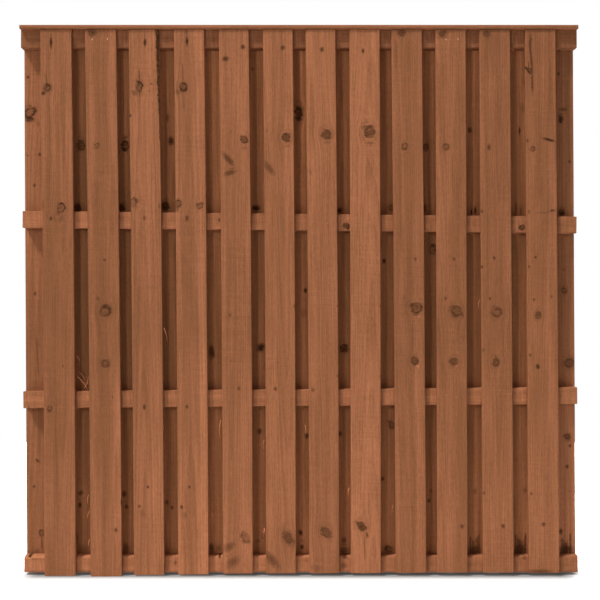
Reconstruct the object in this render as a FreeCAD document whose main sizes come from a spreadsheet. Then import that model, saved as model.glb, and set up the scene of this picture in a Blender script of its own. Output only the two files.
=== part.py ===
import FreeCAD
import Part
import Sketcher
import math
import os

# Hit and miss fence panel, in millimetres. X runs along the panel, -Y is its front and Z is up.
# The origin is the middle of the bottom rail's left end.
# The panel is as it was nailed up: a little out of square, two rails out of level, and each front
# board with a lean, a foot, a width and a place of its own. Those drifts are sizes like the others.

FRONT_COUNT = 12
BACK_COUNT = FRONT_COUNT + 1
WANEY_BOARD = 3

SIZES = {
    "panel_height": 1796,
    "racking": 7,
    "rail_length": 1822,
    "rail_depth": 38,
    "rail_height": 55,
    "rail_arris": 2.5,
    "top_rail_height": 58,
    "bottom_rail_arris": 4.5,
    "lower_rail_rise": 547.5,
    "lower_rail_fall": -14,
    "upper_rail_rise": 1125,
    "upper_rail_fall": 18.5,
    "board_width": 99,
    "board_thickness": 15,
    "board_arris": 0.8,
    "head_clearance": 1,
    "back_lean": 9,
    "back_reach": 2,
    "cap_reach": 3,
    "cap_thickness": 12,
    "cap_overhang": 5,
    "cap_arris": 2,
    "board_wane_width": 11,
    "board_wane_length": 420,
    "board_heart_aside": 64.5,
    "board_heart_behind": 94,
    "rail_wane_width": 8,
    "rail_wane_length": 450,
    "rail_heart_under": 87.5,
    "rail_heart_behind": 59,
}

# For each front board from the left: how far it stands to the right of its even place at mid height,
# how far its foot stands to the right of its head, how far its foot hangs below the bottom rail, and
# how much wider it is than the others.
FRONT_DRIFTS = (
    (-2.5, 14.5, 6.5, 2.5),
    (2.5, 19.5, 8.5, 2.5),
    (0.0, 18.0, 3.5, 0.0),
    (3.0, 14.5, 2.0, 0.0),
    (5.5, 14.0, -1.0, -1.5),
    (4.5, 11.0, -1.5, -1.5),
    (2.0, 13.5, -2.0, -1.5),
    (-1.5, 4.5, -2.5, -1.0),
    (-2.0, 15.0, -3.0, 0.0),
    (-6.0, 6.0, -4.0, -1.0),
    (-2.0, 12.5, -4.0, 0.0),
    (4.0, 13.0, -3.0, 0.0),
)

# Expressions that several pieces share

MIDDLE_X = "(Sizes.rail_length / 2 - Sizes.racking / 2)"
FRONT_PITCH = f"((Sizes.rail_length - Sizes.board_width) / {FRONT_COUNT})"
BACK_PITCH = f"((Sizes.rail_length + 2 * Sizes.back_reach - Sizes.board_width) / {FRONT_COUNT})"
RAIL_UNDER_Z = "(-Sizes.rail_height / 2)"
CAP_UNDER_Z = f"({RAIL_UNDER_Z} + Sizes.panel_height - Sizes.cap_thickness)"
RAIL_HALVES = "((Sizes.rail_height + Sizes.top_rail_height) / 2)"
TOP_RAIL_RISE = f"(Sizes.panel_height - Sizes.cap_thickness - {RAIL_HALVES})"
BOARD_Y = "(Sizes.rail_depth / 2 + Sizes.board_thickness / 2)"
CAP_DEPTH = "(Sizes.rail_depth + 2 * Sizes.board_thickness + 2 * Sizes.cap_overhang)"
CAP_LENGTH = "(Sizes.rail_length + 2 * Sizes.cap_reach)"


def fill_sheet(doc):
    """Writes each size into the sheet under its alias, with the front boards' drifts after the rest."""
    rows = dict(SIZES)
    for number, drifts in enumerate(FRONT_DRIFTS, start=1):
        for word, drift in zip(("aside", "lean", "drop", "wider"), drifts):
            rows[f"front_{word}_{number:02d}"] = drift
    sheet = doc.addObject("Spreadsheet::Sheet", "Sizes")
    for row, (alias, value) in enumerate(rows.items(), start=1):
        sheet.set(f"A{row}", alias)
        sheet.set(f"B{row}", str(value))
        sheet.setAlias(f"B{row}", alias)
    doc.recompute()


def placed(x, y, z, turn):
    """Gives the expression of a placement at x, y, z, turned about Y, which takes +X downwards."""
    return f"placement(vector({x}; {y}; {z}); rotation(vector(0; 1; 0); {turn}))"


def origin_plane(body, role):
    return next(plane for plane in body.Origin.OriginFeatures if plane.Role == role)


def draw_section(sketch, across, deep):
    """Draws a rectangle, across by deep, centred on the sketch's own origin."""
    half_across, half_deep = 40, 20
    corners = [
        FreeCAD.Vector(-half_across, -half_deep, 0),
        FreeCAD.Vector(half_across, -half_deep, 0),
        FreeCAD.Vector(half_across, half_deep, 0),
        FreeCAD.Vector(-half_across, half_deep, 0),
    ]
    for start, end in zip(corners, corners[1:] + corners[:1]):
        sketch.addGeometry(Part.LineSegment(start, end), False)
    for side in range(4):
        sketch.addConstraint(Sketcher.Constraint("Coincident", side, 2, (side + 1) % 4, 1))
    for side in (0, 2):
        sketch.addConstraint(Sketcher.Constraint("Horizontal", side))
        sketch.addConstraint(Sketcher.Constraint("Vertical", side + 1))
    sketch.addConstraint(Sketcher.Constraint("Symmetric", 0, 1, 2, 1, -1, 1))
    width = sketch.addConstraint(Sketcher.Constraint("DistanceX", 0, 1, 0, 2, 2 * half_across))
    depth = sketch.addConstraint(Sketcher.Constraint("DistanceY", 1, 1, 1, 2, 2 * half_deep))
    sketch.renameConstraint(width, "across")
    sketch.renameConstraint(depth, "deep")
    sketch.setExpression("Constraints.across", across)
    sketch.setExpression("Constraints.deep", deep)


def sawn_timber(doc, name, plane, across, deep, length, arris, eased):
    """Pads a sawn section off an origin plane to its length and eases the long arrises that eased picks."""
    body = doc.addObject("PartDesign::Body", name)
    sketch = body.newObject("Sketcher::SketchObject", f"{name}_section")
    sketch.AttachmentSupport = (origin_plane(body, plane), "")
    sketch.MapMode = "FlatFace"
    draw_section(sketch, across, deep)
    pad = body.newObject("PartDesign::Pad", f"{name}_length")
    pad.Profile = sketch
    pad.setExpression("Length", length)
    doc.recompute()
    chamfer = body.newObject("PartDesign::Chamfer", f"{name}_arrises")
    chamfer.Base = (pad, [f"Edge{place}" for place in long_edges(pad.Shape, eased)])
    chamfer.setExpression("Size", arris)
    body.Tip = chamfer
    return body


def long_edges(shape, eased):
    """Gives the numbers of the four edges along a pad whose middle point eased accepts."""
    longest = max(edge.Length for edge in shape.Edges)
    return [
        place
        for place, edge in enumerate(shape.Edges, start=1)
        if math.isclose(edge.Length, longest) and eased(edge.CenterOfMass)
    ]


def every_arris(middle):
    return True


def upper_arris(middle):
    return middle.z > 0


def log_radii(aside, behind, width, run, length):
    """Gives a log's radius at the end where its wane is widest, and at the timber's other end.

    The wane is on one corner of the timber. The log's heart lies aside of the corner along one face and
    behind it across that face. Its bark crosses the face a width from the corner at the first end, and
    reaches the corner where the wane has run out.
    """
    narrow = f"hypot({aside} - {width}; {behind})"
    whole = f"hypot({aside}; {behind})"
    return narrow, f"({narrow} + ({whole} - {narrow}) * {length} / {run})"


def leave_wane(doc, timber, length, radii, placement):
    """Keeps what of a timber lies inside its log, a cone whose two radii are given."""
    name = timber.Name
    timber.Label = f"{name}_square"
    log = doc.addObject("Part::Cone", f"{name}_log")
    log.setExpression("Height", length)
    log.setExpression("Radius1", radii[0])
    log.setExpression("Radius2", radii[1])
    log.setExpression("Placement", placement)
    waney = doc.addObject("Part::Common", f"{name}_waney")
    waney.Base = timber
    waney.Tool = log
    waney.Label = name
    return waney


def make_rail(doc, name, length, height="Sizes.rail_height", arris="Sizes.rail_arris"):
    return sawn_timber(doc, name, "YZ_Plane", "Sizes.rail_depth", height, length, arris, every_arris)


def fix_rail(rail, rise, fall, length):
    """Sets a rail's middle at its rise over the bottom rail, with its right end lower by its fall."""
    left_x = f"Sizes.rail_length / 2 - Sizes.racking * {rise} / {TOP_RAIL_RISE} - {length} / 2"
    rail.setExpression("Placement", placed(left_x, "0", f"{rise} + {fall} / 2", f"asin({fall} / {length})"))
    return rail


def make_bottom_rail(doc):
    """Makes the bottom rail, whose upper front corner is waney at its left end."""
    length = "Sizes.rail_length"
    rail = make_rail(doc, "bottom_rail", length, arris="Sizes.bottom_rail_arris")
    run = ("Sizes.rail_wane_width", "Sizes.rail_wane_length")
    radii = log_radii("Sizes.rail_heart_under", "Sizes.rail_heart_behind", *run, length)
    heart_y = "Sizes.rail_heart_behind - Sizes.rail_depth / 2"
    heart_z = "Sizes.rail_height / 2 - Sizes.rail_heart_under"
    return leave_wane(doc, rail, length, radii, placed("0", heart_y, heart_z, "90"))


def make_rails(doc):
    """Makes the four rails. The top one is taller, and as long as the capping that lies on it."""
    length = "Sizes.rail_length"
    bottom_rail = fix_rail(make_bottom_rail(doc), "0", "0", length)
    lower_rail = make_rail(doc, "lower_rail", length)
    fix_rail(lower_rail, "Sizes.lower_rail_rise", "Sizes.lower_rail_fall", length)
    upper_rail = make_rail(doc, "upper_rail", length)
    fix_rail(upper_rail, "Sizes.upper_rail_rise", "Sizes.upper_rail_fall", length)
    top_rail = make_rail(doc, "top_rail", CAP_LENGTH, "Sizes.top_rail_height")
    fix_rail(top_rail, TOP_RAIL_RISE, "0", CAP_LENGTH)
    return [bottom_rail, lower_rail, upper_rail, top_rail]


def make_capping(doc):
    """Makes the capping, which lies on the top rail and reaches over both faces of boards."""
    section = (CAP_DEPTH, "Sizes.cap_thickness")
    capping = sawn_timber(doc, "capping", "YZ_Plane", *section, CAP_LENGTH, "Sizes.cap_arris", upper_arris)
    left_x = f"Sizes.rail_length / 2 - Sizes.racking - {CAP_LENGTH} / 2"
    capping.setExpression("Placement", placed(left_x, "0", f"{CAP_UNDER_Z} + Sizes.cap_thickness / 2", "0"))
    return capping


def board_reach(width, lean, drop):
    """Gives a board's turn and length, so that its higher head corner stops just under the capping."""
    rise = f"({CAP_UNDER_Z} - Sizes.head_clearance - {RAIL_UNDER_Z} + {drop})"
    turn = f"atan({lean} / (Sizes.panel_height - Sizes.cap_thickness))"
    length = f"(({rise} - {width} / 2 * sin({turn})) / cos({turn}))"
    return turn, length


def make_board(doc, name, width, length):
    section = (width, "Sizes.board_thickness")
    return sawn_timber(doc, name, "XY_Plane", *section, length, "Sizes.board_arris", every_arris)


def hang_board(board, middle_x, y, lean, drop, turn):
    """Stands a board on its foot, which lies to the right of its middle by half its lean."""
    foot_x = f"{middle_x} + {lean} / 2"
    board.setExpression("Placement", placed(foot_x, y, f"{RAIL_UNDER_Z} - {drop}", f"-{turn}"))


def leave_board_wane(doc, board, width, length):
    """Takes a board's right front corner off near its head, where the log's bark was."""
    run = ("Sizes.board_wane_width", "Sizes.board_wane_length")
    radii = log_radii("Sizes.board_heart_aside", "Sizes.board_heart_behind", *run, length)
    heart_x = f"{width} / 2 - Sizes.board_heart_aside"
    heart_y = "Sizes.board_heart_behind - Sizes.board_thickness / 2"
    return leave_wane(doc, board, length, radii, placed(heart_x, heart_y, length, "180"))


def make_front_boards(doc):
    """Makes the front boards over the gaps between the back ones, each with its own drifts."""
    boards = []
    for number in range(1, FRONT_COUNT + 1):
        lean = f"Sizes.front_lean_{number:02d}"
        drop = f"Sizes.front_drop_{number:02d}"
        width = f"(Sizes.board_width + Sizes.front_wider_{number:02d})"
        turn, length = board_reach(width, lean, drop)
        board = make_board(doc, f"front_board_{number:02d}", width, length)
        if number == WANEY_BOARD:
            board = leave_board_wane(doc, board, width, length)
        steps = number - (FRONT_COUNT + 1) / 2
        middle_x = f"{MIDDLE_X} + {steps} * {FRONT_PITCH} + Sizes.front_aside_{number:02d}"
        hang_board(board, middle_x, f"-{BOARD_Y}", lean, drop, turn)
        boards.append(board)
    return boards


def make_back_boards(doc):
    """Makes the evenly spaced back boards, the first and last a little past the rails' ends."""
    boards = []
    turn, length = board_reach("Sizes.board_width", "Sizes.back_lean", "0")
    for number in range(1, BACK_COUNT + 1):
        board = make_board(doc, f"back_board_{number:02d}", "Sizes.board_width", length)
        steps = number - (BACK_COUNT + 1) / 2
        middle_x = f"{MIDDLE_X} + {steps} * {BACK_PITCH}"
        hang_board(board, middle_x, BOARD_Y, "Sizes.back_lean", "0", turn)
        boards.append(board)
    return boards


def check_document(doc, pieces):
    """Stops if any object failed to recompute, or any piece isn't one sound solid."""
    for thing in doc.Objects:
        if {"Invalid", "Error"} & set(thing.State):
            raise RuntimeError(f"{thing.Label} failed: {thing.State}")
    for piece in pieces:
        if piece.Shape.isNull() or not piece.Shape.isValid() or len(piece.Shape.Solids) != 1:
            raise RuntimeError(f"{piece.Label} isn't one sound solid")


def main():
    doc = FreeCAD.newDocument("fence_panel")
    fill_sheet(doc)
    pieces = [make_capping(doc)] + make_rails(doc) + make_front_boards(doc) + make_back_boards(doc)
    doc.recompute()
    check_document(doc, pieces)
    os.makedirs("parts", exist_ok=True)
    for piece in pieces:
        piece.Shape.exportStep(f"parts/{piece.Label}.step")
    volume = sum(piece.Shape.Volume for piece in pieces)
    print(len(pieces), "pieces,", round(volume / 1e9, 5), "cubic metres")


main()
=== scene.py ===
"""A hit and miss fence panel of dip-treated sawn softwood, seen square on in soft studio light."""

import math

import bpy
import numpy as np
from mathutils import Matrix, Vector


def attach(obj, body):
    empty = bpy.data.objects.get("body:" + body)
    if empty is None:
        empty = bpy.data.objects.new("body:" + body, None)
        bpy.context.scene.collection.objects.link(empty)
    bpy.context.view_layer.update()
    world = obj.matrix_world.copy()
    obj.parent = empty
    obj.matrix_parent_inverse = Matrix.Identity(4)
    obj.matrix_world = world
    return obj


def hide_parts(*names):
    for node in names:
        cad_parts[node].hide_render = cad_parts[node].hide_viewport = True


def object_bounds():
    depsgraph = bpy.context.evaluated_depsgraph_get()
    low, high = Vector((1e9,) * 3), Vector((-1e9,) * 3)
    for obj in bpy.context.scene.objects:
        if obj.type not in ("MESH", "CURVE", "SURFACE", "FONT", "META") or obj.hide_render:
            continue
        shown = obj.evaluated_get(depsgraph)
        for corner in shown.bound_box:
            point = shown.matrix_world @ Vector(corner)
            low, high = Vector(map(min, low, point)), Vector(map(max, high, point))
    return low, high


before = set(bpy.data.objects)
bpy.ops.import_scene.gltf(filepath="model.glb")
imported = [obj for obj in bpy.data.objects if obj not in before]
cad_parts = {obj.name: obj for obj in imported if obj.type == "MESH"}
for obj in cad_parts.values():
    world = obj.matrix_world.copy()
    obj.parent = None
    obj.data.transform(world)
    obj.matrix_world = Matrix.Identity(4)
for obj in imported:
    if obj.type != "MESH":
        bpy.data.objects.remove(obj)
CAD_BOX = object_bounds()
MM = 0.001

# The photograph's view, in metres and in pixels of its 600 by 600 frame

IMAGE_SIDE = 600
IMAGE_MIDDLE = 300
FOCAL_PIXELS = 984
SENSOR_MM = 36
CAMERA_X = 0.9078
CAMERA_Z = 0.869
CAMERA_Y = -3.255

# Light: a soft sky, a broad steep sun, a fill behind the panel and a round lamp left of the camera

SKY_LEVEL = 0.3
STEEP_SUN = {"travel": (1.25, 1.0, -2.35), "strength": 3.2, "spread": 9}
BACK_SUN = {"travel": (-0.7, -1.0, -0.8), "strength": 1.5, "spread": 20}
NEAR_LAMP = {"place": (-0.56, -3.3, 1.8), "aim": (0.91, 0, 0.87), "watts": 24, "size": 0.36}
FLOOR_SIZE = 6.0
FLOOR_COLOUR = (0.7, 0.7, 0.7, 1)
FLOOR_SEEN_COLOUR = (4, 4, 4)
WHITE = (1, 1, 1, 1)

# A painted shadow: the dark line that the camera sees on the floor, set by the distance from the panel.
# Spans
# are distances over which a value rises: those of ends from the panel's middle along it, the others from
# its middle plane.

CONTACT_SHADOW_LEVEL = 0.06
CONTACT_SHADOW_RISE = 0.155
CONTACT_SHADOW_SPAN = (0.018, 0.07)
CLEAR_SPAN = (0.07, 0.1)
END_SPAN = (0.85, 0.925)
END_POWER = 1.5
END_LEVEL = 0.25
END_CLEAR_SPAN = (0.91, 0.95)

# Painted light: a camera-only glow that lifts the line where the feet shut the light out, which is told
# by how open the floor is around a point

OPEN_REACH = 0.06
OPEN_SAMPLES = 16
OPEN_SPAN = (0.15, 0.6)
GLOW_COLOUR = (1.05, 1.0, 0.95)
GLOW_LEVEL = 0.037
GLOW_RISE = 0.133
GLOW_SPAN = (0.006, 0.026)


class Socket:
    """One output of a material's nodes. Its operators add Math nodes, so a sum is written as a sum."""

    def __init__(self, tree, output):
        self.tree = tree
        self.output = output

    def math(self, operation, *others):
        return self.tree.add("ShaderNodeMath", {"operation": operation}, [self, *others])

    def __add__(self, other):
        return self.math("ADD", other)

    __radd__ = __add__

    def __mul__(self, other):
        return self.math("MULTIPLY", other)

    __rmul__ = __mul__

    def __sub__(self, other):
        return self.math("SUBTRACT", other)

    def __rsub__(self, other):
        return self.tree.add("ShaderNodeMath", {"operation": "SUBTRACT"}, [other, self])

    def __truediv__(self, other):
        return self.math("DIVIDE", other)

    def __pow__(self, other):
        return self.math("POWER", other)

    def between(self, low, high):
        """Rises smoothly from 0 at low to 1 at high."""
        inputs = {"Value": self, "From Min": low, "From Max": high}
        return self.tree.add("ShaderNodeMapRange", {"interpolation_type": "SMOOTHSTEP"}, inputs)

    def fall(self, low, high):
        """Falls smoothly from 1 at low to 0 at high."""
        return 1 - self.between(low, high)


class Tree:
    """A material's or the world's nodes, made by one method."""

    def __init__(self, owner):
        owner.use_nodes = True
        self.tree = owner.node_tree
        self.tree.nodes.clear()

    def add(self, kind, settings=None, inputs=(), output=0):
        """Makes a node, sets it up, fills its inputs by place or name, and gives one of its outputs."""
        node = self.tree.nodes.new(kind)
        for name, value in (settings or {}).items():
            setattr(node, name, value)
        pairs = inputs.items() if isinstance(inputs, dict) else enumerate(inputs)
        for key, value in pairs:
            if isinstance(value, Socket):
                self.tree.links.new(value.output, node.inputs[key])
            else:
                node.inputs[key].default_value = value
        return Socket(self, node.outputs[output]) if node.outputs else node

    def attribute(self, name, output):
        return self.add("ShaderNodeAttribute", {"attribute_name": name}, output=output)

    def split(self, vector):
        return [self.add("ShaderNodeSeparateXYZ", None, [vector], place) for place in range(3)]

    def vector(self, x, y, z):
        return self.add("ShaderNodeCombineXYZ", None, [x, y, z])

    def noise(self, vector, scale, detail=2.0, roughness=0.5):
        """Fractal noise about 0, within about half either way."""
        inputs = {"Vector": vector, "Scale": scale, "Detail": detail, "Roughness": roughness}
        return self.add("ShaderNodeTexNoise", {"normalize": True}, inputs) - 0.5

    def mix(self, factor, first, second, blend="MIX"):
        """Blends two colours."""
        settings = {"data_type": "RGBA", "blend_type": blend, "clamp_factor": True}
        return self.add("ShaderNodeMix", settings, {0: factor, 6: first, 7: second}, 2)

    def brighten(self, colour, gain):
        """Multiplies a colour by a value."""
        return self.add("ShaderNodeVectorMath", {"operation": "SCALE"}, {0: colour, 3: gain})

    def surface(self, inputs):
        """Ends a material in one shader with these inputs."""
        shader = self.add("ShaderNodeBsdfPrincipled", None, inputs)
        self.add("ShaderNodeOutputMaterial", None, [shader])


def smooth(low, high, values):
    """Rises smoothly from 0 at low to 1 at high, on a whole array."""
    share = np.clip((values - low) / (high - low), 0, 1)
    return share * share * (3 - 2 * share)


class Waver:
    """A smooth random function of place: a sum of sine waves with their own directions and phases."""

    def __init__(self, seed, wavelengths, count=14):
        dice = np.random.default_rng(seed)
        spin = dice.normal(size=(count, len(wavelengths)))
        self.turns = spin / np.array(wavelengths) * 2 * math.pi / 1.6
        self.phases = dice.uniform(0, 2 * math.pi, count)

    def __call__(self, *places):
        place = np.stack(np.broadcast_arrays(*places), -1)
        return np.sin(place @ self.turns.T + self.phases).mean(-1) * 2


# Marks in the wood, read from the photograph. A row starts with the mark's middle and its half
# width, in the photograph's pixels. Then come its height over its width, its strength, for a knot how hard
# its rim is, and the turn of its long axis from upright. The last are left out where they are usual.
# A knot has a rim and rings. A spot is dark all over with a soft edge, and one of negative strength is
# pale torn grain with a painted highlight, where it catches the light.


def knot(x, y, half_wide, tallness=1, strength=1, rim=0.7, turn=0):
    """Fills a row up with the usual values, and takes the tallness to a half height in pixels."""
    return x, y, half_wide, half_wide * tallness, turn, strength, rim


def spot(x, y, half_wide, tallness=1, strength=0.8, turn=0):
    return knot(x, y, half_wide, tallness, strength, 0, turn)


KNOTS = {
    "front_board_01": (
        (47, 88, 3.5, 1.2, 1.1, 0.9, 15), (61.5, 208, 4.2, 1.2, 0.8, 0.8, 20),
        (49.5, 408.5, 2.6, 1, 0.6, 0.8),
    ),
    "front_board_02": (
        (92.5, 32.5, 4.4, 0.85, 1.15, 0.4), (96.5, 145.5, 2.6, 1.4, 0.8, 0.6), (106, 311, 6, 1, 0.9, 0.9),
        (105.5, 363.5, 4.2, 1, 1, 0.8),
    ),
    "front_board_03": ((139.5, 85.5, 3.4, 1.7, 1.05, 1), (134.2, 202.5, 4.4, 1, 0.5)),
    "front_board_04": (
        (183, 87, 4, 1.3, 1, 1), (178, 204, 3.4, 1.2, 0.9, 0.8), (200.3, 205.4, 3.5, 1.1, 0.9, 0.8, 35),
    ),
    "front_board_05": ((244, 140, 4, 1, 1.2), (245, 537.5, 4.4, 1.5, 0.75, 0.5, -30)),
    "front_board_06": ((286, 137.5, 4.6, 1, 1.25), (288, 538, 4, 2, 1.25, 0.4, -38)),
    "front_board_07": ((327, 134, 5.2, 1, 1.2, 0.6), (326, 532, 4.6, 1.4, 1.25, 0.45, -38)),
    "front_board_08": ((369.5, 132, 6, 1.15, 1.25, 0.6, -15), (361.5, 526, 4.2, 1.3, 1.4, 0.5, -30)),
    "front_board_09": (
        (401.5, 32.5, 4, 0.9, 1.3, 0.3), (405, 146.5, 3, 1.3, 0.8, 0.8), (417, 308, 6, 1, 1.2, 0.8),
        (414, 361, 4.2, 1, 1.25, 0.6),
    ),
    "front_board_10": (
        (443, 33, 4, 1, 1.25, 0.3), (446.5, 147, 3.2, 1.2, 0.85, 0.8), (456, 311, 6, 1, 1.2),
        (453.5, 361.5, 4.2, 1, 1.3, 0.5),
    ),
    "front_board_11": (
        (487, 34, 3.4, 1, 1.15, 0.6), (497, 312.5, 5.2, 1.1, 0.95, 0.6), (496, 362.5, 3.6, 1.1, 1.2, 0.5),
    ),
    "front_board_12": ((533, 149, 2.6, 1.1, 0.8, 0.6), (538, 315, 3.2, 1.2, 1.2, 0.5)),
    "back_board_01": ((30, 113, 6.4, 1.1, 0.8, 1, 20), (42, 533, 3, 1.2)),
    "back_board_02": ((81, 145, 4, 1.3, 1.4, 1), (77.8, 208, 3.8, 1, 1.6, 0.6)),
    "back_board_03": ((125, 145, 4, 1.4, 1.4, 1), (122, 208, 3.6, 1, 1.6, 0.6)),
    "back_board_04": ((165.5, 206, 4.2, 1, 1.6, 0.6),),
    "back_board_07": ((298.5, 113, 3.8, 1.7, 1.5, 1),),
    "back_board_08": ((344.5, 348.5, 4.6, 1, 1.4, 0.8),),
    "back_board_09": ((392, 425, 3.2, 1.3), (391, 207.5, 3, 1.2), (389, 549, 4, 0.8)),
    "back_board_10": ((426, 147.5, 2.8, 1.5), (433, 249, 3.6, 1.6, 0.7)),
    "back_board_13": (
        (562, 212, 3.4), (564, 290, 3.4), (569, 363.5, 5, 1, 1.15), (567.5, 436.8, 3.2, 1, 1.3),
        (560.5, 119, 2.4, 1.7),
    ),
    "upper_rail": ((346.5, 226, 3.4, 0.8, 1.4, 0.8), (521.9, 227.4, 3, 1, 1.5, 0.9)),
}

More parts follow.
